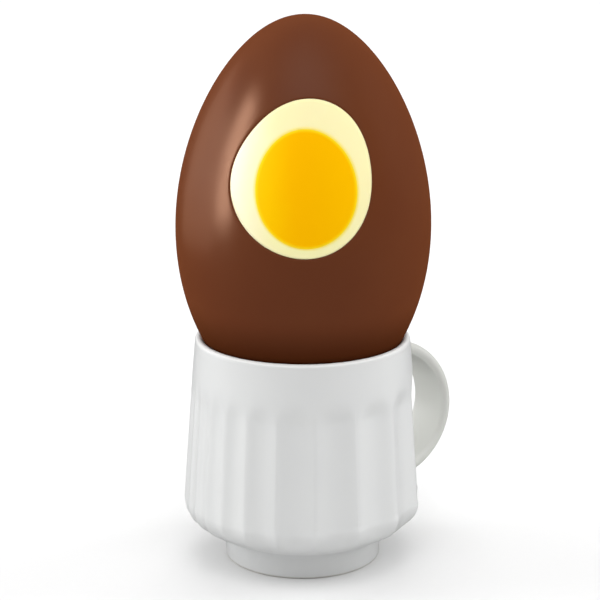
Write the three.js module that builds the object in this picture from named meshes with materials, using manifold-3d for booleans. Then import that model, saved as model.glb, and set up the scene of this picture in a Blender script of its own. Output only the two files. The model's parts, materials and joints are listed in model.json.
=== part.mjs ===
// A moulded milk-chocolate egg, standing blunt end down in a small fluted porcelain cup.
// The motif on its front is cast into it: white chocolate, and a yolk-coloured chocolate in that.
// Millimetres, +Z up, the egg's motif faces -Y, and the cup's foot stands on z = 0.
import * as THREE from "three";
import { mergeVertices } from "three/addons/utils/BufferGeometryUtils.js";
import Module from "manifold-3d";

const GAP = 0.3; // clear space left between two pieces that touch

// The egg: a solid of revolution, blunt below, that leans a little to the right in the cup.
const EGG_HEIGHT = 98.5;
const EGG_WIDTH = 63;
const EGG_CENTRE_Z = 88.2; // half way up the egg
const EGG_TAPER = 0.0695; // how much slimmer its upper half is than its lower half
const EGG_SQUARENESS = 0.0554; // how much slimmer both ends are than those of an ellipsoid
const EGG_LEAN_DEG = 0.63;
const EGG_SEAT_Z = 70.5; // middle of its round lower end, about which it leans in the cup's lip
const EGG_COLUMNS = 56;
const EGG_ROWS = 24;

// The cast motif: two layers set flush in the egg's surface, drawn on the plane x, z.
const WHITE_THICKNESS = 2.6;
const YOLK_THICKNESS = 1;
const WHITE_CENTRE = [-0.8, 14.5]; // across, and up from the egg's centre
const WHITE_RADIUS = 17.15;
const WHITE_LOBES = [0.68, 0.86, 0.55]; // swell of the outline once, twice and three times round
const WHITE_LOBE_TURNS_DEG = [130, 13.5, 17.2]; // where each swell is, clockwise from the top
const YOLK_CENTRE = [0.46, 12.4];
const YOLK_WIDTH = 23.7;
const YOLK_HEIGHT = 27.1;
const YOLK_TAPER = 0.053;
const YOLK_LEAN_DEG = 4.2; // of its long axis, to the left
const OUTLINE_STEPS = 44;

// The cup's body, foot and bowl.
const CUP_HEIGHT = 57.5;
const RIM_RADIUS = 26.9;
const LIP_RADIUS = 25.15; // of the bowl, just below the lip; the egg rests on it
const LIP_ROUND = 1; // height of the lip's rounding
const WALL_CROWN = 0.2; // how far the wall's bend lies outside a straight line from belly to lip
const WALL_ROWS = [0.14, 0.3, 0.46, 0.62, 0.74, 0.78, 0.81, 0.845, 0.92]; // closest at the flutes' ends
const BELLY_RADIUS = 30.1;
const BELLY_Z = 15.4;
const BELLY_ROUND = 6.4;
const UNDERSIDE_DEG = 57; // how far round the belly's arc goes before the underside starts
const UNDERSIDE_BEND = 2.2; // from the arc's end to the bend of the underside
const FOOT_RADIUS = 19.6;
const FOOT_FLARE = 0.2; // how much wider the foot is at its top
const FOOT_HEIGHT = 6.4;
const FOOT_EDGE = 0.5;
const FOOT_RING = 2.9; // width of the ring that the cup stands on
const RECESS_Z = 5.2; // the recess under the cup
const RECESS_DRAFT = 0.3; // how much narrower the recess is at its top
const RECESS_EDGE = 0.9;
const BOWL_Z = 8.6; // the bowl's middle
const BOWL_DISH = 0.8; // how much higher the bowl's floor is at its edge
const BOWL_WALL = 3; // at the belly
const BOWL_ROUND = 9; // of the rounding between the bowl's wall and its floor
const BOWL_STRAIGHT_Z = 44.5; // the bowl's wall is upright from here to the lip

// The flutes: hollow grooves with sharp ridges between them, wide on one side of the cup and
// narrow on the other.
const FLUTES = 30;
const FLUTE_COLUMNS = 4;
const FLUTE_GRADING = 2.06; // a wide flute's share of the ring, over the mean flute's
const FLUTE_WIDE_DEG = 65.7; // the widest flutes' side of the cup, from the front to the right
const FLUTE_START = 0.406; // of a flute
const FLUTE_EDGE_DEG = 9; // how steeply a groove leaves its ridge
const FLUTE_TOP_Z = 50.2;
const FLUTE_TOP_FADE = 4;
const FLUTE_FOOT_R = 22;
const FLUTE_FOOT_FADE = 6;

// The handle: a broad band bent into a leaning oval ring, fixed to the cup at both ends.
const HANDLE_SIDE_DEG = 130; // from the front to the right
const HANDLE_CENTRE = [25.2, 33.3]; // out from the cup's axis, and up
const HANDLE_LENGTH = 43.4;
const HANDLE_HEIGHT = 37.3;
const HANDLE_DROOP_DEG = 17.6;
const BAND_WIDTH = 12;
const BAND_THICKNESS = 2.8;
const BAND_STEPS = 18;
const BAND_END_STEPS = 4;
const BAND_FROM_DEG = -68; // its ends, round the oval, both inside the cup's wall
const BAND_TO_DEG = 101;

const rad = THREE.MathUtils.degToRad;
const smooth = THREE.MathUtils.smoothstep;
const wasm = await Module();
wasm.setup();

// ---- solids ----

function solidOf(geometry) {
  const bare = geometry.clone();
  bare.deleteAttribute("normal");
  bare.deleteAttribute("uv");
  const merged = mergeVertices(bare, 1e-4);
  const mesh = new wasm.Mesh({
    numProp: 3,
    vertProperties: merged.attributes.position.array,
    triVerts: new Uint32Array(merged.index.array),
  });
  return new wasm.Manifold(mesh);
}

function meshOf(name, solid, material) {
  const { vertProperties, triVerts } = solid.getMesh();
  const geometry = new THREE.BufferGeometry();
  geometry.setAttribute("position", new THREE.BufferAttribute(vertProperties, 3));
  geometry.setIndex(new THREE.BufferAttribute(triVerts, 1));
  geometry.computeVertexNormals();
  const mesh = new THREE.Mesh(geometry, material);
  mesh.name = name;
  return mesh;
}

// A profile of radius and height, turned about Z; its first column faces the front.
function turned(profile, columns) {
  return new THREE.LatheGeometry(profile, columns).rotateX(Math.PI / 2);
}

// ---- egg ----

// The egg about its own centre, with its whole surface brought in by an inset.
function eggSolid(inset) {
  const half = EGG_HEIGHT / 2 - inset;
  const widest = EGG_WIDTH / 2 - inset;
  const profile = Array.from({ length: EGG_ROWS + 1 }, (_, row) => {
    const up = -Math.cos((Math.PI * row) / EGG_ROWS);
    const round = Math.sin((Math.PI * row) / EGG_ROWS);
    const slimming = 1 - EGG_TAPER * up - EGG_SQUARENESS * up * up;
    return new THREE.Vector2(row % EGG_ROWS ? widest * round * slimming : 0, half * up);
  });
  return solidOf(turned(profile, EGG_COLUMNS));
}

// The white layer's outline: a circle with one, two and three soft swells, grown all round.
function whiteOutline(grow) {
  return (turn) => {
    const swell = WHITE_LOBES.reduce((sum, lobe, n) => {
      return sum + lobe * Math.cos((n + 1) * (turn - rad(WHITE_LOBE_TURNS_DEG[n])));
    }, 0);
    const radius = WHITE_RADIUS + swell + grow;
    const [x, z] = WHITE_CENTRE;
    return new THREE.Vector2(x + radius * Math.sin(turn), z + radius * Math.cos(turn));
  };
}

// The yolk's outline: a small upright egg shape that leans to the left, grown all round.
function yolkOutline(grow) {
  return (turn) => {
    const up = Math.cos(turn);
    const across = (YOLK_WIDTH / 2 + grow) * Math.sin(turn) * (1 - YOLK_TAPER * up);
    const point = new THREE.Vector2(across, (YOLK_HEIGHT / 2 + grow) * up);
    point.rotateAround(new THREE.Vector2(), rad(YOLK_LEAN_DEG));
    return point.add(new THREE.Vector2(...YOLK_CENTRE));
  };
}

// A prism on an outline in the plane x, z, from the egg's middle out past its front.
function motifPrism(outline) {
  const points = Array.from({ length: OUTLINE_STEPS }, (_, step) => {
    return outline((-2 * Math.PI * step) / OUTLINE_STEPS);
  });
  const shape = new THREE.Shape(points);
  const prism = new THREE.ExtrudeGeometry(shape, { depth: EGG_WIDTH, bevelEnabled: false });
  return solidOf(prism.rotateX(Math.PI / 2));
}

// ---- cup ----

// The angle round the cup at a number of flutes past the front, graded from wide to narrow.
function fluteAngle(count) {
  const turn = (Math.PI * (count + FLUTE_START)) / FLUTES;
  return rad(FLUTE_WIDE_DEG) + 2 * Math.atan2(FLUTE_GRADING * Math.sin(turn), Math.cos(turn));
}

// The angle that one flute takes up there: the slope of the law above.
function fluteWidth(count) {
  const turn = (Math.PI * (count + FLUTE_START)) / FLUTES;
  const spread = Math.cos(turn) ** 2 + (FLUTE_GRADING * Math.sin(turn)) ** 2;
  return (2 * Math.PI * FLUTE_GRADING) / FLUTES / spread;
}

// How deep the groove is at a place. From ridge to ridge it is flat, as a chord of the ring is,
// and hollowed a little more by its edges' slope. It fades out under the rim and near the foot.
function fluteDepth(count, radius, height) {
  const whole = Math.floor(count);
  const across = 2 * (count - whole) - 1;
  const width = fluteWidth(whole + 0.5);
  const flat = (radius * width * width) / 8;
  const hollow = (radius * width * rad(FLUTE_EDGE_DEG)) / 4;
  const below = 1 - smooth(height, FLUTE_TOP_Z - FLUTE_TOP_FADE, FLUTE_TOP_Z);
  const above = smooth(radius, FLUTE_FOOT_R, FLUTE_FOOT_R + FLUTE_FOOT_FADE);
  return (flat + hollow) * (1 - across * across) * (height > BELLY_Z ? below : above);
}

const point = (radius, height) => new THREE.Vector2(radius, height);

// The outside from the foot's top edge over the belly to the lip.
function outsideProfile() {
  const centre = point(BELLY_RADIUS - BELLY_ROUND, BELLY_Z);
  const from = -rad(UNDERSIDE_DEG);
  const belly = new THREE.ArcCurve(centre.x, centre.y, BELLY_ROUND, from, 0, false);
  const start = belly.getPoint(0);
  const crease = point(FOOT_RADIUS + FOOT_FLARE, FOOT_HEIGHT);
  const underBend = start.clone().addScaledVector(belly.getTangent(0), -UNDERSIDE_BEND);
  const underside = new THREE.QuadraticBezierCurve(crease, underBend, start);
  const lip = point(RIM_RADIUS, CUP_HEIGHT - LIP_ROUND);
  const wallBend = point((BELLY_RADIUS + RIM_RADIUS) / 2 + WALL_CROWN, (BELLY_Z + lip.y) / 2);
  const wall = new THREE.QuadraticBezierCurve(point(BELLY_RADIUS, BELLY_Z), wallBend, lip);
  return [
    ...underside.getPoints(4).slice(0, -1),
    ...belly.getPoints(5),
    ...WALL_ROWS.map((along) => wall.getPoint(along)),
    lip,
  ];
}

// The lip's rounding and the bowl, down to its middle.
function bowlProfile() {
  const middle = (RIM_RADIUS + LIP_RADIUS) / 2;
  const width = RIM_RADIUS - LIP_RADIUS;
  const spring = CUP_HEIGHT - LIP_ROUND;
  const lip = new THREE.EllipseCurve(middle, spring, width / 2, LIP_ROUND, 0, Math.PI, false, 0);
  const corner = point(BELLY_RADIUS - BOWL_WALL, BOWL_Z + BOWL_DISH);
  const wallEnd = point(corner.x, corner.y + BOWL_ROUND);
  const floorStart = point(corner.x - BOWL_ROUND, corner.y);
  return [
    ...lip.getPoints(4).slice(1),
    point(LIP_RADIUS, BOWL_STRAIGHT_Z),
    ...new THREE.QuadraticBezierCurve(wallEnd, corner, floorStart).getPoints(4),
    point(0, BOWL_Z),
  ];
}

// The recess under the cup and the ring that it stands on, from the middle outwards.
function footProfile() {
  const ringInside = FOOT_RADIUS - FOOT_RING;
  const recessTop = ringInside - RECESS_DRAFT;
  return [
    point(0, RECESS_Z),
    point(recessTop - RECESS_EDGE, RECESS_Z),
    point(recessTop, RECESS_Z - RECESS_EDGE),
    point(ringInside, FOOT_EDGE),
    point(ringInside + FOOT_EDGE, 0),
    point(FOOT_RADIUS - FOOT_EDGE, 0),
    point(FOOT_RADIUS, FOOT_EDGE),
  ];
}

// The turned cup with its columns moved to the flutes' ridges, and the grooves pressed in
// square to its outside.
function cupBody() {
  const foot = footProfile();
  const outside = outsideProfile();
  const profile = [...foot, ...outside, ...bowlProfile()];
  const columns = FLUTES * FLUTE_COLUMNS;
  const geometry = turned(profile, columns);
  const place = geometry.attributes.position;
  for (let index = 0; index < place.count; index++) {
    const row = index % profile.length;
    const count = (Math.floor(index / profile.length) % columns) / FLUTE_COLUMNS;
    const here = profile[row].clone();
    if (row >= foot.length && row < foot.length + outside.length) {
      const along = profile[row + 1].clone().sub(profile[row - 1]).normalize();
      const depth = fluteDepth(count, here.x, here.y);
      here.add(point(-along.y, along.x).multiplyScalar(depth));
    }
    const angle = fluteAngle(count);
    place.setXYZ(index, here.x * Math.sin(angle), -here.x * Math.cos(angle), here.y);
  }
  return solidOf(geometry);
}

// The band's section is a bar with round ends, carried round a part of the oval.
function handleSolid() {
  const half = BAND_THICKNESS / 2;
  const reach = BAND_WIDTH / 2 - half;
  const section = new THREE.Shape();
  section.absarc(reach, 0, half, -Math.PI / 2, Math.PI / 2, false);
  section.absarc(-reach, 0, half, Math.PI / 2, (3 * Math.PI) / 2, false);
  const [out, up] = HANDLE_CENTRE;
  const oval = new THREE.EllipseCurve(
    out,
    up,
    HANDLE_LENGTH / 2 - half,
    HANDLE_HEIGHT / 2 - half,
    rad(BAND_FROM_DEG),
    rad(BAND_TO_DEG),
    false,
    -rad(HANDLE_DROOP_DEG),
  );
  const middleLine = oval.getSpacedPoints(BAND_STEPS).map((p) => new THREE.Vector3(p.x, 0, p.y));
  const band = new THREE.ExtrudeGeometry(section, {
    steps: BAND_STEPS,
    curveSegments: BAND_END_STEPS,
    extrudePath: new THREE.CatmullRomCurve3(middleLine),
  });
  return solidOf(band.rotateZ(rad(HANDLE_SIDE_DEG - 90)));
}

// ---- the whole, put together ----

const porcelain = new THREE.MeshStandardMaterial({ color: 0xeceeed, roughness: 0.18, metalness: 0 });
const milk = new THREE.MeshStandardMaterial({ color: 0x6b3c28, roughness: 0.35, metalness: 0 });
const white = new THREE.MeshStandardMaterial({ color: 0xfdf5c8, roughness: 0.4, metalness: 0 });
const yolk = new THREE.MeshStandardMaterial({ color: 0xffbc04, roughness: 0.4, metalness: 0 });

const wholeEgg = eggSolid(0);
const whitePocket = motifPrism(whiteOutline(GAP)).subtract(eggSolid(WHITE_THICKNESS + GAP));
const yolkPocket = motifPrism(yolkOutline(GAP)).subtract(eggSolid(YOLK_THICKNESS + GAP));
const whiteLayer = motifPrism(whiteOutline(0)).intersect(wholeEgg);
const yolkLayer = motifPrism(yolkOutline(0)).intersect(wholeEgg);

const egg = new THREE.Group();
egg.add(meshOf("egg_shell", wholeEgg.subtract(whitePocket), milk));
egg.add(meshOf("egg_white", whiteLayer.subtract(eggSolid(WHITE_THICKNESS)).subtract(yolkPocket), white));
egg.add(meshOf("egg_yolk", yolkLayer.subtract(eggSolid(YOLK_THICKNESS)), yolk));
egg.position.z = EGG_CENTRE_Z - EGG_SEAT_Z;

const seat = new THREE.Group();
seat.add(egg);
seat.position.z = EGG_SEAT_Z;
seat.rotation.y = rad(EGG_LEAN_DEG);

const model = new THREE.Group();
model.name = "chocolate_egg_in_cup";
model.add(meshOf("cup", cupBody().add(handleSolid()), porcelain));
model.add(seat);

// The origin is under the middle of the whole, on the surface that the foot stands on.
const middle = new THREE.Box3().setFromObject(model, true).getCenter(new THREE.Vector3());
model.position.set(-middle.x, -middle.y, 0);

export default model;
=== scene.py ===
"""A moulded milk-chocolate egg with a boiled-egg motif cast into its front, in a fluted porcelain cup."""

import json

import bpy
import numpy as np
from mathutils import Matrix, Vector


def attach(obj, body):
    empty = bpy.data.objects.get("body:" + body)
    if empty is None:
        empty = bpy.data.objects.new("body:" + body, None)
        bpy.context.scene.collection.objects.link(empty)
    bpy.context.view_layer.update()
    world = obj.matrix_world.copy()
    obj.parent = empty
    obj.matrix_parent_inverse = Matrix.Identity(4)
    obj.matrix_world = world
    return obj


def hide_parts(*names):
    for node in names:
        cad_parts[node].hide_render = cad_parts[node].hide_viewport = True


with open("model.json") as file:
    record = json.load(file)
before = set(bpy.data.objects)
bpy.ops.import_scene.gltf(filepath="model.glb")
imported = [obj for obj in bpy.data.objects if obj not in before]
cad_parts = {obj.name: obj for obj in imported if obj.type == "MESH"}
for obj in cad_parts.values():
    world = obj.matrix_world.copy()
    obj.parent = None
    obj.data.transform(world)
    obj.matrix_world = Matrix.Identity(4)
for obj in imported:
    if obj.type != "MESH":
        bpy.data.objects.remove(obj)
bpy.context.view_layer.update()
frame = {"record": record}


# ---- Camera ----
# A long lens, half a metre in front of the cup and a little above the egg, looks down at the
# middle of the two. Sizes in this file are in millimetres until a mesh is made.
MM = 0.001
CAMERA_BACK = 496
CAMERA_HEIGHT = 200
CAMERA_ASIDE = -0.65  # from the cup's axis
CAMERA_PITCH = 15.07  # degrees below level
CAMERA_LENS = 123.84
SENSOR_WIDTH = 36
FOOT_RING_MIDDLE = 18.15  # the record's mount point is this far in front of the cup's axis

foot_point = frame["record"]["mounts"][0]["pos_m"]
cup_axis = np.array([foot_point[0], foot_point[1] + FOOT_RING_MIDDLE * MM, 0])

camera_data = bpy.data.cameras.new("camera")
camera_data.lens = CAMERA_LENS
camera_data.sensor_width = SENSOR_WIDTH
camera = bpy.data.objects.new("camera", camera_data)
camera.location = Vector(cup_axis) + Vector((CAMERA_ASIDE, -CAMERA_BACK, CAMERA_HEIGHT)) * MM
camera.rotation_euler = (np.radians(90 - CAMERA_PITCH), 0, 0)
bpy.context.scene.collection.objects.link(camera)
bpy.context.scene.camera = camera


# ---- Floor ----
# The studio's table: a wide pale board, sealed matt, that runs out of sight behind the cup.
FLOOR_SIDE = 2600
FLOOR_GRAIN = 1.5  # of the board's faint mottling


def linear(colour):
    """An sRGB hex colour as linear red, green, blue and alpha: the sRGB curve undone."""
    value = np.array([int(colour[i:i + 2], 16) for i in (1, 3, 5)]) / 255
    low, high = value / 12.92, ((value + 0.055) / 1.055) ** 2.4
    return (*np.where(value <= 0.04045, low, high), 1.0)


def node(tree, kind, inputs=None, **settings):
    """Adds one shader node with its settings, and gives each named input a value or a link."""
    made = tree.nodes.new("ShaderNode" + kind)
    for name, value in settings.items():
        setattr(made, name, value)
    for name, value in (inputs or {}).items():
        if isinstance(value, bpy.types.NodeSocket):
            tree.links.new(value, made.inputs[name])
        else:
            made.inputs[name].default_value = value
    return made


def new_material(name):
    """An empty material, its node tree, and its Object coordinates in millimetres."""
    material = bpy.data.materials.new(name)
    material.use_nodes = True
    tree = material.node_tree
    tree.nodes.clear()
    place = node(tree, "TexCoord").outputs["Object"]
    scale = (1 / MM, 1 / MM, 1 / MM)
    in_mm = node(tree, "Mapping", {"Vector": place, "Scale": scale}).outputs["Vector"]
    return material, tree, in_mm


def surface(tree, shader):
    """Links a shader to the material's surface."""
    node(tree, "OutputMaterial", {"Surface": shader.outputs[0]})


def new_object(name, points, faces, material, smooth=True):
    """A mesh object at the origin from points in millimetres about the cup's axis."""
    mesh = bpy.data.meshes.new(name)
    mesh.from_pydata((points * MM + cup_axis).tolist(), [], faces)
    mesh.materials.append(material)
    mesh.polygons.foreach_set("use_smooth", np.full(len(mesh.polygons), smooth))
    mesh.update()
    made = bpy.data.objects.new(name, mesh)
    bpy.context.scene.collection.objects.link(made)
    return made


sealed_board, tree, in_mm = new_material("sealed white board")
mottling = node(tree, "TexNoise", {"Vector": in_mm, "Scale": 1 / FLOOR_GRAIN, "Detail": 3})
tone = node(tree, "Mix", {
    "Factor": mottling.outputs["Fac"],
    "A": linear("#DEDEDE"),
    "B": linear("#E0E0E0"),
}, data_type="RGBA")
surface(tree, node(tree, "BsdfPrincipled", {
    "Base Color": tone.outputs["Result"],
    "Roughness": 0.9,
    "Specular IOR Level": 0.1,
}))

corners = np.array([[-1, -1, 0], [1, -1, 0], [1, 1, 0], [-1, 1, 0]]) * FLOOR_SIDE / 2
floor = new_object("floor", corners, [(0, 1, 2, 3)], sealed_board, smooth=False)
floor.visible_glossy = False  # so that its glare doesn't grey the egg's gloss


# ---- Light ----
# A tent of white cloth lit from outside, a little dimmer at the back, with the dark gap that the
# camera looks in through. One box glows above the gap and one behind on the left. Two soft lamps
# on the sides shape the cup's flutes, one at the back lifts the floor there, and two warm cards on
# the left, a tall narrow one and a broad one, draw the long highlight and the soft sheen beside it.
CLOTH = 0.66
GLOWS = (  # azimuth from the front to the right, elevation, strength, sharpness
    ("gap", 0, 0, -3.9, 2.3),
    ("upper box", 5, 62, 3.0, 6),
    ("left box", -110, 5, 1.6, 8),
    ("backdrop", 180, 0, -0.55, 5),
)
TABLE_DARK = -0.2  # sine of the elevation below which nothing glows
SEEN_WHITE = 1.0
LAMPS = (  # azimuth, elevation, distance, width, height, watts
    ("left lamp", -98, 20, 1500, 900, 900, 9),
    ("right lamp", 105, 20, 1500, 900, 900, 10.5),
    ("back lamp", 180, 50, 1500, 900, 900, 6),
    ("card", -75, 18, 800, 230, 640, 27),
    ("broad card", -111, 6, 1500, 1400, 1100, 52),
)
CARDS = ("card", "broad card")
CARD_TONE = "#FFD6B6"
AIM_HEIGHT = 90  # the middle of the egg


def outward_from(azimuth, elevation):
    """The direction at an azimuth, from the front to the right, and an elevation, in degrees."""
    turn, rise = np.radians((azimuth, elevation))
    return Vector((np.sin(turn) * np.cos(rise), -np.cos(turn) * np.cos(rise), np.sin(rise)))


bpy.context.scene.view_settings.view_transform = "Standard"
studio = bpy.data.worlds.new("studio")
bpy.context.scene.world = studio
studio.use_nodes = True
tree = studio.node_tree
tree.nodes.clear()
way_out = node(tree, "TexCoord").outputs["Generated"]
glow = CLOTH
for name, azimuth, elevation, strength, sharpness in GLOWS:
    # Each glow is its strength times exp(sharpness × (cosine of the angle off its middle − 1)).
    middle = outward_from(azimuth, elevation)
    cosine = node(tree, "VectorMath", {0: way_out, 1: middle}, operation="DOT_PRODUCT")
    falling = node(tree, "Math", {0: cosine.outputs["Value"], 1: sharpness, 2: -sharpness},
                   operation="MULTIPLY_ADD")
    shape = node(tree, "Math", {0: falling.outputs[0]}, operation="EXPONENT", label=name)
    joined = node(tree, "Math", {0: shape.outputs[0], 1: strength, 2: glow}, operation="MULTIPLY_ADD")
    glow = node(tree, "Math", {0: joined.outputs[0], 1: 0}, operation="MAXIMUM").outputs[0]
height = node(tree, "SeparateXYZ", {"Vector": way_out}).outputs["Z"]
above_table = node(tree, "MapRange", {"Value": height, "From Min": TABLE_DARK, "From Max": 0})
glow = node(tree, "Math", {0: glow, 1: above_table.outputs["Result"]}, operation="MULTIPLY").outputs[0]
# Seen straight, beyond the table's edge, the tent is plain white cloth from every side.
seen = node(tree, "LightPath").outputs["Is Camera Ray"]
glow = node(tree, "Mix", {"Factor": seen, "A": glow, "B": SEEN_WHITE}).outputs["Result"]
cloth = node(tree, "Background", {"Color": linear("#FFFFFF"), "Strength": glow})
node(tree, "OutputWorld", {"Surface": cloth.outputs[0]})

cards = []
for name, azimuth, elevation, distance, wide, tall, watts in LAMPS:
    lamp = bpy.data.lights.new(name, "AREA")
    lamp.shape = "RECTANGLE"
    lamp.size = wide * MM
    lamp.size_y = tall * MM
    lamp.energy = watts
    placed = bpy.data.objects.new(name, lamp)
    out = outward_from(azimuth, elevation)
    placed.location = Vector(cup_axis) + (Vector((0, 0, AIM_HEIGHT)) + out * distance) * MM
    placed.rotation_euler = out.to_track_quat("Z", "Y").to_euler()
    placed.visible_camera = False
    placed.visible_glossy = name in CARDS  # the lamps only give light, the cards only gloss
    placed.visible_diffuse = name not in CARDS
    if name in CARDS:
        lamp.color = linear(CARD_TONE)[:3]
        cards.append(placed)
    bpy.context.scene.collection.objects.link(placed)


# ---- Cup body ----
# Slip-cast porcelain, one wall from the foot ring to the lip, under a clear gloss glaze. The
# flutes are in the mould: thirty of them, wide on the handle's side and narrow opposite, each
# run out in a round end under the rim. The glaze softens their ridges.
CUP_HEIGHT = 57.5
RIM_RADIUS = 26.9
LIP_RADIUS = 24.85  # the egg rests on its edge
LIP_ROUND = 1
BELLY_RADIUS = 30.05
BELLY_Z = 15.4
BELLY_ROUND = 6.4
UNDERSIDE_DEG = 57
UNDERSIDE_BEND = 2.2
WALL_CROWN = 0.2  # how far the wall swells past straight
FOOT_RADIUS = 19.6
FOOT_FLARE = 0.2
FOOT_HEIGHT = 6.4
FOOT_EDGE = 0.5
FOOT_RING = 2.9
FOOT_SHARE = 0.4  # where a ring lies part way up the foot
CREASE_ROUND = 1.3  # where the glaze has pooled over the foot
RECESS_Z = 5.2
RECESS_ROUND = 2.2
RECESS_DROP = 1.9
RECESS_DRAFT = 0.2
FLAT_SHARES = (0.3, 0.6)  # where rings lie on the recess's flat
BOWL_Z = 8.6
BOWL_DISH = 0.8
BOWL_WALL = 3
BOWL_ROUND = 9
BOWL_FLAT = 9
BOWL_MIDDLE_Z = 31
BOWL_STRAIGHT_Z = 44.5

FLUTES = 30
FLUTE_COLUMNS = 20
FLUTE_GRADING = 2.06  # the widest is this many even ones wide, the narrowest one part in as many
FLUTE_WIDE = np.radians(65.7)  # where they are widest, from the front to the right
FLUTE_START = 0.406  # of a flute, from there to the first ridge
FLUTE_EDGE = np.radians(16)  # how far a groove's edge dips below the chord between its ridges
FLUTE_TOP_Z = 50.2
FLUTE_TOP_FADE = 8
FLUTE_FOOT_R = 25.6  # radius at which the grooves start on the underside
FLUTE_FOOT_FADE = 4.5
RIDGE_ROUND = 0.35  # how far the glaze rounds a ridge, each way
RIDGE_SHARE = 0.14  # and how far, on a wide flute, as a share of its half width
ARCH_SOFT = 0.3  # of the arches' edges, as a share of the groove's depth

UNGLAZED_Z = 0.5
UNGLAZED_EDGE = 0.1
# The painted highlight on the lip runs between these depths below the top.
LIP_HIGHLIGHT_FROM = 0.6  # below the top
LIP_HIGHLIGHT_TO = 0.2


def smoothstep(value, low, high):
    """Rises from 0 at low to 1 at high, level at both: 3t² − 2t³."""
    t = np.clip((value - low) / (high - low), 0, 1)
    return t * t * (3 - 2 * t)


def arc(centre, radii, start, end, steps):
    """Points round an ellipse's centre, from one angle in degrees to another."""
    angle = np.radians(np.linspace(start, end, steps))
    return np.stack([centre[0] + radii[0] * np.cos(angle), centre[1] + radii[1] * np.sin(angle)], 1)


def bend(start, corner, end, steps):
    """A quadratic curve that leaves its start towards the corner and comes to its end from it."""
    t = np.linspace(0, 1, steps)[:, None]
    return (1 - t) ** 2 * np.array(start) + 2 * t * (1 - t) * np.array(corner) + t * t * np.array(end)


def closed_skin(rings, poles):
    """Points and faces of a closed skin over rings of equal length, with one pole at each end. All
    faces look outwards: they are turned round where the volume inside them, a sixth of the sum of
    their corners' determinants, comes out negative."""
    count, around = rings.shape[:2]
    points = np.concatenate([rings.reshape(-1, 3), poles])
    ring, here = np.meshgrid(np.arange(count - 1), np.arange(around), indexing="ij")
    after = (here + 1) % around
    quads = np.stack([ring * around + here, ring * around + after,
                      (ring + 1) * around + after, (ring + 1) * around + here], -1).reshape(-1, 4)
    here = np.arange(around)
    after = (here + 1) % around
    last = (count - 1) * around
    first_cap = np.stack([np.full(around, count * around), after, here], 1)
    last_cap = np.stack([np.full(around, count * around + 1), last + here, last + after], 1)
    triangles = np.concatenate([quads[:, :3], quads[:, [0, 2, 3]], first_cap, last_cap])
    if np.linalg.det(points[triangles]).sum() < 0:
        quads = quads[:, [0, 3, 2, 1]]  # each still starts at its first corner, where it is split
        first_cap, last_cap = first_cap[:, ::-1], last_cap[:, ::-1]
    return points, quads.tolist() + first_cap.tolist() + last_cap.tolist()


def wall_radius(height):
    """Outer radius of the cup's wall between its belly and its lip: the wall's bend, at a height."""
    bend_points = bend(*wall_bend, 200)
    return np.interp(height, bend_points[:, 1], bend_points[:, 0])


ring_inside = FOOT_RADIUS - FOOT_RING
recess_floor = (ring_inside - RECESS_ROUND, RECESS_Z)
recess_corner = (ring_inside - 1.5 * RECESS_DRAFT, RECESS_Z)
recess_side = (ring_inside - RECESS_DRAFT, RECESS_Z - RECESS_DROP)
foot = np.concatenate([
    [[ring_inside * share, RECESS_Z] for share in FLAT_SHARES],
    bend(recess_floor, recess_corner, recess_side, 8),
    arc((ring_inside + FOOT_EDGE, FOOT_EDGE), (FOOT_EDGE, FOOT_EDGE), 180, 270, 7),
    arc((FOOT_RADIUS - FOOT_EDGE, FOOT_EDGE), (FOOT_EDGE, FOOT_EDGE), -90, 0, 7),
])

arc_start = np.radians(-UNDERSIDE_DEG)
belly_centre = np.array([BELLY_RADIUS - BELLY_ROUND, BELLY_Z])
underside_end = belly_centre + BELLY_ROUND * np.array([np.cos(arc_start), np.sin(arc_start)])
underside_corner = underside_end - UNDERSIDE_BEND * np.array([-np.sin(arc_start), np.cos(arc_start)])
crease = np.array([FOOT_RADIUS + FOOT_FLARE, FOOT_HEIGHT])
under_way = (underside_corner - crease) / np.linalg.norm(underside_corner - crease)
crease_low = crease - [FOOT_FLARE * CREASE_ROUND / FOOT_HEIGHT, CREASE_ROUND]
crease_high = crease + under_way * CREASE_ROUND
wall_top = (RIM_RADIUS, CUP_HEIGHT - LIP_ROUND)
wall_corner = ((BELLY_RADIUS + RIM_RADIUS) / 2 + WALL_CROWN, (BELLY_Z + wall_top[1]) / 2)
wall_bend = ((BELLY_RADIUS, BELLY_Z), wall_corner, wall_top)
outside = np.concatenate([
    [[FOOT_RADIUS + FOOT_FLARE * FOOT_SHARE, FOOT_HEIGHT * FOOT_SHARE]],
    bend(crease_low, crease, crease_high, 7),
    bend(crease_high, underside_corner, underside_end, 12)[1:],
    arc(belly_centre, (BELLY_ROUND, BELLY_ROUND), -UNDERSIDE_DEG, 0, 18)[1:],
    bend(*wall_bend, 60)[1:],
])

lip_middle = ((RIM_RADIUS + LIP_RADIUS) / 2, wall_top[1])
lip_radii = ((RIM_RADIUS - LIP_RADIUS) / 2, LIP_ROUND)
bowl_corner = (BELLY_RADIUS - BOWL_WALL, BOWL_Z + BOWL_DISH)
bowl_side = (bowl_corner[0], bowl_corner[1] + BOWL_ROUND)
bowl_floor = (bowl_corner[0] - BOWL_ROUND, bowl_corner[1])
bowl = np.concatenate([
    arc(lip_middle, lip_radii, 0, 180, 13)[1:],
    [[LIP_RADIUS, BOWL_STRAIGHT_Z], [(LIP_RADIUS + bowl_corner[0]) / 2, BOWL_MIDDLE_Z]],
    bend(bowl_side, bowl_corner, bowl_floor, 12),
    [[BOWL_FLAT, BOWL_Z + BOWL_DISH / 2]],
])


def flute_angle(count):
    """Angle round the cup, from the front to the right, at a number of flutes: past the widest
    place, the tangent of half the angle is the grading times the tangent of an even half turn."""
    turn = np.pi * (count + FLUTE_START) / FLUTES
    return FLUTE_WIDE + 2 * np.arctan2(FLUTE_GRADING * np.sin(turn), np.cos(turn))


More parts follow.
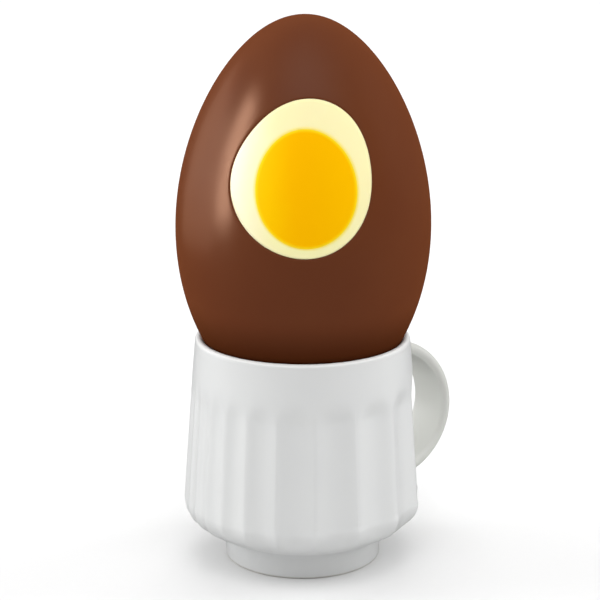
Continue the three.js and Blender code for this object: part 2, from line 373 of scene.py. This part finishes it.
def flute_width(count):
    """Angle that one flute takes up at a number of flutes: the slope of flute_angle."""
    turn = np.pi * (count + FLUTE_START) / FLUTES
    return 2 * np.pi * FLUTE_GRADING / FLUTES / (np.cos(turn) ** 2 + (FLUTE_GRADING * np.sin(turn)) ** 2)


# Columns lie closest at the ridges; rows go up the outside. The groove is a chord's sagitta and
# a hollow more, times 1 − across², with both ridges rounded, less a rise that ends it in an arch.
inner = (1 + np.sin(np.pi / 2 * (np.arange(FLUTE_COLUMNS) * 2 / FLUTE_COLUMNS - 1))) / 2
whole = np.repeat(np.arange(FLUTES), FLUTE_COLUMNS)
count = whole + np.tile(inner, FLUTES)
angle = flute_angle(count)
width = flute_width(whole + 0.5)
radius, height = outside[:, :1], outside[:, 1:]
rounding = np.hypot(RIDGE_ROUND / (radius * width / 2), RIDGE_SHARE)
from_ridge = 1 - np.abs(2 * (count - whole) - 1)
from_ridge = (np.hypot(from_ridge, rounding) - rounding) / (np.hypot(1, rounding) - rounding)
section = from_ridge * (2 - from_ridge)
rise = smoothstep(height, FLUTE_TOP_Z - FLUTE_TOP_FADE, FLUTE_TOP_Z)
arched = section - rise
arched = (arched + np.hypot(arched, ARCH_SOFT)) / 2 * (1 - rise)
above_foot = smoothstep(radius, FLUTE_FOOT_R, FLUTE_FOOT_R + FLUTE_FOOT_FADE)
groove = np.where(height > BELLY_Z, arched, section * above_foot)
depth = radius * (width ** 2 / 8 + width * FLUTE_EDGE / 4) * groove
along = np.gradient(outside, axis=0)
along /= np.linalg.norm(along, axis=1, keepdims=True)
# The foot and the bowl are the same all round: 0 × angle spreads them over the columns.
radius = np.concatenate([foot[:, :1] + 0 * angle, radius - along[:, 1:] * depth, bowl[:, :1] + 0 * angle])
height = np.concatenate([foot[:, 1:] + 0 * angle, height + along[:, :1] * depth, bowl[:, 1:] + 0 * angle])
rings = np.stack([radius * np.sin(angle), -radius * np.cos(angle), height], -1)
points, faces = closed_skin(rings, [[0, 0, RECESS_Z], [0, 0, BOWL_Z]])


def porcelain(name, cloud_low, cloud_high):
    """Glazed porcelain: a faintly cloudy cool white under a glaze with a slight orange peel, with a
    painted highlight in white along the top of the lip. The foot ring is wiped clean of the glaze: matt
    and a little warmer."""
    material, tree, in_mm = new_material(name)
    cloud = node(tree, "TexNoise", {"Vector": in_mm, "Scale": 1 / 14, "Detail": 2})
    body = node(tree, "Mix", {
        "Factor": cloud.outputs["Fac"],
        "A": linear(cloud_low),
        "B": linear(cloud_high),
    }, data_type="RGBA")
    height = node(tree, "SeparateXYZ", {"Vector": in_mm}).outputs["Z"]
    # Painted highlight: a whiter band along the top of the lip.
    lip_highlight_mask = node(tree, "MapRange", {
        "Value": height,
        "From Min": CUP_HEIGHT - LIP_HIGHLIGHT_FROM,
        "From Max": CUP_HEIGHT - LIP_HIGHLIGHT_TO,
    })
    body = node(tree, "Mix", {
        "Factor": lip_highlight_mask.outputs["Result"],
        "A": body.outputs["Result"],
        "B": linear("#F8F9F8"),
    }, data_type="RGBA")
    glazed = node(tree, "MapRange", {
        "Value": height,
        "From Min": UNGLAZED_Z - UNGLAZED_EDGE,
        "From Max": UNGLAZED_Z + UNGLAZED_EDGE,
    })
    tone = node(tree, "Mix", {
        "Factor": glazed.outputs["Result"],
        "A": linear("#CCCAC5"),
        "B": body.outputs["Result"],
    }, data_type="RGBA")
    gloss = node(tree, "MapRange", {"Value": glazed.outputs["Result"], "To Min": 0.8, "To Max": 0.3})
    peel = node(tree, "TexNoise", {"Vector": in_mm, "Scale": 1 / 2.5, "Detail": 2})
    relief = node(tree, "Bump", {"Height": peel.outputs["Fac"], "Strength": 0.15, "Distance": MM * 0.05})
    surface(tree, node(tree, "BsdfPrincipled", {
        "Base Color": tone.outputs["Result"],
        "Roughness": gloss.outputs["Result"],
        "IOR": 1.5,
        "Normal": relief.outputs["Normal"],
    }))
    return material


glazed_porcelain = porcelain("glazed porcelain", "#D9DADA", "#DDDEDD")
cup_body = new_object("cup_body", points, faces, glazed_porcelain)
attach(cup_body, "root")
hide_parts("cup")


# ---- Cup handle ----
# A broad porcelain band bent into a leaning oval ring, cast apart and stuck on with slip, so
# each end runs into the wall in a small round fillet under the glaze.
HANDLE_SIDE = np.radians(40)  # from the right towards the back
HANDLE_CENTRE = (25.2, 33.3)  # of the oval, out from the axis and up
HANDLE_LENGTH = 43.25
HANDLE_HEIGHT = 37.3
HANDLE_DROOP = np.radians(-17.6)
BAND_WIDTH = 12
BAND_THICKNESS = 2.8
BAND_FROM_DEG = -68
BAND_TO_DEG = 101
BAND_STEPS = 150
BAND_END_STEPS = 16
FILLET = 1.3
WRAP_REACH = 6  # how far from the wall the band takes on its round

# The band's middle line runs round the oval. Its section, two half rounds and the flats between
# them, swells at the wall in a fillet, and near the wall it is bent to the wall's own round.
half_thick = BAND_THICKNESS / 2
turn = np.radians(np.linspace(BAND_FROM_DEG, BAND_TO_DEG, BAND_STEPS))
half_long = HANDLE_LENGTH / 2 - half_thick
half_high = HANDLE_HEIGHT / 2 - half_thick
oval = np.stack([half_long * np.cos(turn), half_high * np.sin(turn)], 1)
cos, sin = np.cos(HANDLE_DROOP), np.sin(HANDLE_DROOP)
oval = oval @ [[cos, sin], [-sin, cos]] + HANDLE_CENTRE
way = np.gradient(oval, axis=0)
way /= np.linalg.norm(way, axis=1, keepdims=True)
outward = np.stack([way[:, 1], -way[:, 0]], 1)
clear = np.clip(oval[:, 0] - wall_radius(oval[:, 1]), 0, FILLET)
swell = FILLET - np.sqrt(FILLET ** 2 - (FILLET - clear) ** 2)
reach = BAND_WIDTH / 2 - half_thick
ends = [arc((side * reach, 0), (half_thick, half_thick), start, start + 180, BAND_END_STEPS)
        for side, start in ((1, -90), (-1, 90))]
section = np.concatenate(ends)
grown = 1 + swell[:, None] / half_thick
across = np.sign(section[:, 0]) * reach + (section[:, 0] - np.sign(section[:, 0]) * reach) * grown
thick = section[:, 1] * grown
out = oval[:, :1] + outward[:, :1] * thick
up = oval[:, 1:] + outward[:, 1:] * thick
wrap = 1 - smoothstep(out - wall_radius(up), 0, WRAP_REACH)
out = out - (out - np.sqrt(out ** 2 - across ** 2)) * wrap
rings = np.stack([out * np.cos(HANDLE_SIDE) - across * np.sin(HANDLE_SIDE),
                  out * np.sin(HANDLE_SIDE) + across * np.cos(HANDLE_SIDE), up], -1)
points, faces = closed_skin(rings, [rings[0].mean(0), rings[-1].mean(0)])

# The band's white is darker than the body's, as painted shade, and a touch greener.
painted_shade_porcelain = porcelain("porcelain with painted shade", "#CBCCC7", "#CFD0CB")
cup_handle = new_object("cup_handle", points, faces, painted_shade_porcelain)
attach(cup_handle, "root")
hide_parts("cup")


# ---- Egg shell ----
# Milk chocolate moulded in a polished egg mould, so it has a soft, even gloss. The motif is cast
# first and backed by the shell, which leaves a fine line round it.
EGG_HALF_HEIGHT = 98.5 / 2
EGG_HALF_WIDTH = 62.86 / 2
EGG_CENTRE_Z = 88.2
EGG_TAPER = 0.0695  # narrows it upwards and widens it downwards
EGG_SQUARENESS = 0.0554  # narrows it towards both ends
EGG_LEAN = np.radians(0.63)
EGG_SEAT_Z = 70.5  # middle of its round lower end, about which it leans in the cup's lip
BODY_RINGS = 129
MOTIF_COLUMNS = 256
WHITE_CENTRE = np.array([-0.8, 14.5])
WHITE_RADIUS = 17.15
WHITE_LOBES = (0.68, 0.86, 0.55)
WHITE_LOBE_TURNS = np.radians((130, 13.5, 17.2))
WHITE_THICKNESS = 2.6
LINE_WIDTH = 0.35  # of the fine line, on each side of the joint
LINE_DEPTH = 0.18


def on_egg(ball, inset=0.0):
    """A point of the egg for a direction on the unit ball: the ball is stretched to the egg's
    half height, and to its half width times 1 − taper·up − squareness·up²."""
    up = ball[..., 2:]
    wide = (EGG_HALF_WIDTH - inset) * (1 - EGG_TAPER * up - EGG_SQUARENESS * up * up)
    return np.concatenate([wide * ball[..., :2], (EGG_HALF_HEIGHT - inset) * up], -1)


def from_front(place, inset=0.0):
    """The direction on the unit ball that the egg shows at a place across and up, from the front."""
    up = place[..., 1] / (EGG_HALF_HEIGHT - inset)
    across = place[..., 0] / ((EGG_HALF_WIDTH - inset) * (1 - EGG_TAPER * up - EGG_SQUARENESS * up * up))
    return np.stack([across, -np.sqrt(1 - across ** 2 - up ** 2), up], -1)


def white_outline(turn):
    """The white's outline, clockwise from the top: a circle with one, two and three soft swells."""
    swell = sum(lobe * np.cos((n + 1) * (turn - start))
                for n, (lobe, start) in enumerate(zip(WHITE_LOBES, WHITE_LOBE_TURNS)))
    radius = WHITE_RADIUS + swell
    return WHITE_CENTRE + np.stack([radius * np.sin(turn), radius * np.cos(turn)], -1)


def between(start, end, share):
    """Directions part of the way from one to another, along the ball's great circles."""
    whole = np.arccos(np.clip((start * end).sum(-1), -1, 1))[..., None]
    return (np.sin((1 - share) * whole) * start + np.sin(share * whole) * end) / np.sin(whole)


def stand(points):
    """Stands points about the egg's own centre at its place in the cup, leant about its seat."""
    x, y, z = np.moveaxis(points, -1, 0)
    z = z + EGG_CENTRE_Z - EGG_SEAT_Z
    cos, sin = np.cos(EGG_LEAN), np.sin(EGG_LEAN)
    return np.stack([x * cos + z * sin, y, z * cos - x * sin + EGG_SEAT_Z], -1)


turns = np.linspace(0, 2 * np.pi, MOTIF_COLUMNS, endpoint=False)
white_edge = white_outline(turns)
edge_away = white_edge - WHITE_CENTRE
edge_away /= np.linalg.norm(edge_away, axis=1, keepdims=True)

# From the pocket's floor up its wall, over the joint's edge, and round the egg to its back.
layer_shares = np.linspace(0.1, 1, 8)
inset_edge = from_front(white_edge, WHITE_THICKNESS)
inset_middle = from_front(WHITE_CENTRE, WHITE_THICKNESS)
pocket_floor = [on_egg(between(inset_middle, inset_edge, share), WHITE_THICKNESS)
                for share in layer_shares]
edge_drop = LINE_DEPTH * np.array([1, 0.8, 0.45, 0.15])
edge_out = LINE_WIDTH * np.array([0, 8, 18, 27]) / 27
lip = [on_egg(from_front(white_edge + edge_away * out, drop), drop)
       for out, drop in zip(edge_out, edge_drop)]
shell_start = from_front(white_edge + edge_away * LINE_WIDTH * 1.5)
back = -from_front(WHITE_CENTRE)
body_shares = np.linspace(0, 1, BODY_RINGS, endpoint=False)
body = [on_egg(between(shell_start, back, share)) for share in body_shares]
rings = stand(np.array(pocket_floor + lip + body))
poles = stand(np.array([on_egg(inset_middle, WHITE_THICKNESS), on_egg(back)]))
points, faces = closed_skin(rings, poles)

# Cocoa and milk solids give it a mottle at two scales. Its gloss is a thin film of cocoa butter,
# fuller in patches: a coat of high index and small weight, so that the egg's edges stay brown. Its
# skin sways very slightly. Towards the lip the tone is darkened and the gloss taken away: painted
# shade, for the shade that falls between egg and cup.
# Painted shade: between these heights the chocolate darkens towards the lip.
SHADE_FROM_Z = 57
SHADE_TO_Z = 70
FLECK_SHARE = 0.15
milk_chocolate, tree, in_mm = new_material("moulded milk chocolate")
cloud = node(tree, "TexNoise", {"Vector": in_mm, "Scale": 1 / 16, "Detail": 3})
fleck = node(tree, "TexNoise", {"Vector": in_mm, "Scale": 1 / 1.1, "Detail": 4})
cloudy = node(tree, "Mix", {
    "Factor": cloud.outputs["Fac"],
    "A": linear("#60311C"),
    "B": linear("#673820"),
}, data_type="RGBA")
flecked = node(tree, "Mix", {
    "Factor": fleck.outputs["Fac"],
    "A": linear("#61321B"),
    "B": linear("#64341C"),
}, data_type="RGBA")
tone = node(tree, "Mix", {
    "Factor": FLECK_SHARE,
    "A": cloudy.outputs["Result"],
    "B": flecked.outputs["Result"],
}, data_type="RGBA")
height = node(tree, "SeparateXYZ", {"Vector": in_mm}).outputs["Z"]
clear_of_painted_shade = node(tree, "MapRange", {
    "Value": height,
    "From Min": SHADE_FROM_Z,
    "From Max": SHADE_TO_Z,
}, interpolation_type="SMOOTHSTEP")
# Painted shade: a dark brown towards the lip, where the cup and the egg's own bulge shade it.
shaded = node(tree, "Mix", {
    "Factor": clear_of_painted_shade.outputs["Result"],
    "A": linear("#441F0D"),
    "B": tone.outputs["Result"],
}, data_type="RGBA")
patches = node(tree, "TexNoise", {"Vector": in_mm, "Scale": 1 / 7, "Detail": 3})
satin = node(tree, "MapRange", {"Value": patches.outputs["Fac"], "To Min": 0.024, "To Max": 0.032})
# The gloss fades out towards the lip along with the painted shade.
film = node(tree, "Math", {0: satin.outputs["Result"], 1: clear_of_painted_shade.outputs["Result"]},
            operation="MULTIPLY")
sway = node(tree, "TexNoise", {"Vector": in_mm, "Scale": 1 / 9, "Detail": 1})
relief = node(tree, "Bump", {"Height": sway.outputs["Fac"], "Strength": 0.1, "Distance": MM * 0.3})
surface(tree, node(tree, "BsdfPrincipled", {
    "Base Color": shaded.outputs["Result"],
    "Roughness": 0.6,
    "Specular IOR Level": 0,
    "Coat Weight": film.outputs["Value"],
    "Coat Roughness": 0.27,
    "Coat IOR": 3,
    "Coat Normal": relief.outputs["Normal"],
    "Sheen Weight": 0.04,
    "Sheen Roughness": 0.55,
    "Sheen Tint": linear("#E0905C"),
    "Normal": relief.outputs["Normal"],
}))

egg_shell = new_object("egg_shell_chocolate", points, faces, milk_chocolate)
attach(egg_shell, "root")
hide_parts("egg_shell")


# ---- White of the motif ----
# White chocolate, poured round the yolk's layer in the mould: cream-white, whiter on its left and
# stained yellow next to the yolk, with a slight translucence that softens its shading.
YOLK_CENTRE = np.array([0.46, 12.4])
YOLK_HALF_WIDTH = 23.7 / 2
YOLK_HALF_HEIGHT = 27.1 / 2
YOLK_TAPER = 0.053
YOLK_LEAN = np.radians(4.2)
YOLK_THICKNESS = 1
YOLK_RUN = 0.9  # how far its colour runs into the white
WHITER_FROM_X = -16  # the white is whiter on its left
WHITER_TO_X = -8
LOWER_TO_Z = 84  # and a touch deeper above this height
UPPER_FROM_Z = 96


def yolk_outline(turn):
    """The yolk's outline, clockwise from the top: a small egg shape that leans to the left."""
    up = np.cos(turn)
    across = YOLK_HALF_WIDTH * np.sin(turn) * (1 - YOLK_TAPER * up)
    up = YOLK_HALF_HEIGHT * up
    cos, sin = np.cos(YOLK_LEAN), np.sin(YOLK_LEAN)
    return YOLK_CENTRE + np.stack([across * cos - up * sin, across * sin + up * cos], -1)


def keep_on_mesh(piece, name, values):
    """Keeps one number for each of a piece's points, for its material to read."""
    piece.data.attributes.new(name, "FLOAT", "POINT").data.foreach_set("value", values)


def layer_rings(places, inset):
    """Rings on the egg for rows of places seen from the front, on a surface brought in by an inset."""
    return [on_egg(from_front(place, inset), inset) for place in places]


yolk_edge = yolk_outline(turns)
yolk_pocket = [YOLK_CENTRE + (yolk_edge - YOLK_CENTRE) * share for share in layer_shares]
white_back = [WHITE_CENTRE + (white_edge - WHITE_CENTRE) * share for share in layer_shares]
front_shares = np.append(np.linspace(0.06, 0.94, 22), [0.97, 0.998, 1])
white_front = [white_edge + (yolk_edge - white_edge) * share for share in front_shares]
rim = [on_egg(from_front(white_edge - edge_away * out, drop), drop)
       for out, drop in zip(edge_out, edge_drop)]
rings = layer_rings(white_back, WHITE_THICKNESS) + rim + layer_rings(white_front, 0.0)
rings += layer_rings(yolk_pocket[::-1], YOLK_THICKNESS)
rings = stand(np.array(rings))
poles = stand(np.array([on_egg(inset_middle, WHITE_THICKNESS),
                        on_egg(from_front(YOLK_CENTRE, YOLK_THICKNESS), YOLK_THICKNESS)]))
points, faces = closed_skin(rings, poles)

# How far each point lies from the yolk: on the front across the white, behind it the white's width.
white_width = np.linalg.norm(yolk_edge - white_edge, axis=1)
covered = len(white_back) + len(rim)
from_yolk = np.zeros((len(rings), MOTIF_COLUMNS))
from_yolk[:covered] = white_width
from_yolk[covered:covered + len(front_shares)] = white_width * (1 - front_shares[:, None])

white_chocolate, tree, in_mm = new_material("white chocolate")
yolk_distance = node(tree, "Attribute", attribute_name="from_yolk").outputs["Fac"]
where = node(tree, "SeparateXYZ", {"Vector": in_mm})
sway = node(tree, "TexNoise", {"Vector": in_mm, "Scale": 1 / 6, "Detail": 2}).outputs["Fac"]
swayed = node(tree, "Math", {0: sway, 1: 4, 2: where.outputs["X"]}, operation="MULTIPLY_ADD").outputs[0]
creamier = node(tree, "MapRange", {"Value": swayed, "From Min": WHITER_FROM_X, "From Max": WHITER_TO_X})
upper = node(tree, "MapRange", {
    "Value": where.outputs["Z"],
    "From Min": LOWER_TO_Z,
    "From Max": UPPER_FROM_Z,
})
cream = node(tree, "Mix", {
    "Factor": upper.outputs["Result"],
    "A": linear("#FFF9BC"),
    "B": linear("#FEF3BA"),
}, data_type="RGBA")
tone = node(tree, "Mix", {
    "Factor": creamier.outputs["Result"],
    "A": linear("#FEF7CE"),
    "B": cream.outputs["Result"],
}, data_type="RGBA")
clear_of_yolk = node(tree, "MapRange", {"Value": yolk_distance, "From Min": 0, "From Max": YOLK_RUN},
                     interpolation_type="SMOOTHSTEP")
stained = node(tree, "Mix", {
    "Factor": clear_of_yolk.outputs["Result"],
    "A": linear("#FDE878"),
    "B": tone.outputs["Result"],
}, data_type="RGBA")
surface(tree, node(tree, "BsdfPrincipled", {
    "Base Color": stained.outputs["Result"],
    "Roughness": 0.42,
    "IOR": 1.46,
    "Specular IOR Level": 0.3,
    "Subsurface Weight": 0.15,
    "Subsurface Radius": (1, 0.8, 0.4),
    "Subsurface Scale": MM * 0.6,
}))
egg_white = new_object("motif_white", points, faces, white_chocolate)
keep_on_mesh(egg_white, "from_yolk", np.append(from_yolk, [white_width.mean(), 0]))
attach(egg_white, "root")
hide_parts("egg_white")


# ---- Yolk of the motif ----
# White chocolate coloured yolk-yellow: the first spoonful in the mould, so its edge thins out
# and runs a little into the white.
LEFT_X = -13  # its yellow is lightest left of this
LEFT_END_X = -3  # and fullest from here
DEEPEST_X = -1  # to here
RIGHT_X = 14  # a touch lighter again by here

yolk_back = [YOLK_CENTRE + (yolk_edge - YOLK_CENTRE) * share for share in layer_shares]
front_shares = np.append([1, 0.998, 0.985], 1 - np.linspace(0.15, 0.97, 36) ** 1.7)
yolk_front = [YOLK_CENTRE + (yolk_edge - YOLK_CENTRE) * share for share in front_shares]
rings = stand(np.array(layer_rings(yolk_back, YOLK_THICKNESS) + layer_rings(yolk_front, 0.0)))
poles = stand(np.array([on_egg(from_front(YOLK_CENTRE, YOLK_THICKNESS), YOLK_THICKNESS),
                        on_egg(from_front(YOLK_CENTRE))]))
points, faces = closed_skin(rings, poles)

# How far each point of the front lies inside the yolk's edge.
yolk_reach = np.linalg.norm(yolk_edge - YOLK_CENTRE, axis=1)
from_edge = np.zeros((len(rings), MOTIF_COLUMNS))
from_edge[len(yolk_back):] = yolk_reach * (1 - front_shares[:, None])

# A full yolk yellow, deepest about its middle, lighter towards the left and a little towards the
# right, and a paler yellow where the edge thins out over the white.
yolk_chocolate, tree, in_mm = new_material("yolk-coloured chocolate")
edge_distance = node(tree, "Attribute", attribute_name="from_edge").outputs["Fac"]
where = node(tree, "SeparateXYZ", {"Vector": in_mm})
sway = node(tree, "TexNoise", {"Vector": in_mm, "Scale": 1 / 5, "Detail": 2}).outputs["Fac"]
swayed = node(tree, "Math", {0: sway, 1: 3, 2: where.outputs["X"]}, operation="MULTIPLY_ADD").outputs[0]
rightward = node(tree, "MapRange", {"Value": swayed, "From Min": DEEPEST_X, "From Max": RIGHT_X})
warm = node(tree, "Mix", {
    "Factor": rightward.outputs["Result"],
    "A": linear("#FFBA00"),
    "B": linear("#FFC000"),
}, data_type="RGBA")
inward = node(tree, "MapRange", {"Value": swayed, "From Min": LEFT_X, "From Max": LEFT_END_X},
              interpolation_type="SMOOTHSTEP")
deep = node(tree, "Mix", {
    "Factor": inward.outputs["Result"],
    "A": linear("#FFC900"),
    "B": warm.outputs["Result"],
}, data_type="RGBA")
inside = node(tree, "MapRange", {"Value": edge_distance, "From Min": 0, "From Max": YOLK_RUN},
              interpolation_type="SMOOTHSTEP")
tone = node(tree, "Mix", {
    "Factor": inside.outputs["Result"],
    "A": linear("#FFDB1E"),
    "B": deep.outputs["Result"],
}, data_type="RGBA")
surface(tree, node(tree, "BsdfPrincipled", {
    "Base Color": tone.outputs["Result"],
    "Roughness": 0.42,
    "IOR": 1.46,
    "Specular IOR Level": 0.3,
    "Specular Tint": linear("#FFD400"),
}))
egg_yolk = new_object("motif_yolk", points, faces, yolk_chocolate)
keep_on_mesh(egg_yolk, "from_edge", np.append(from_edge, [0, yolk_reach.mean()]))
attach(egg_yolk, "root")
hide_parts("egg_yolk")


# ---- What the cards shine on ----
# Their mirror images belong to the chocolate alone: on the glaze they would fill the shaded
# sides of the flutes.
chocolate = bpy.data.collections.new("chocolate")
for piece in (egg_shell, egg_white, egg_yolk):
    chocolate.objects.link(piece)
for card in cards:
    card.light_linking.receiver_collection = chocolate
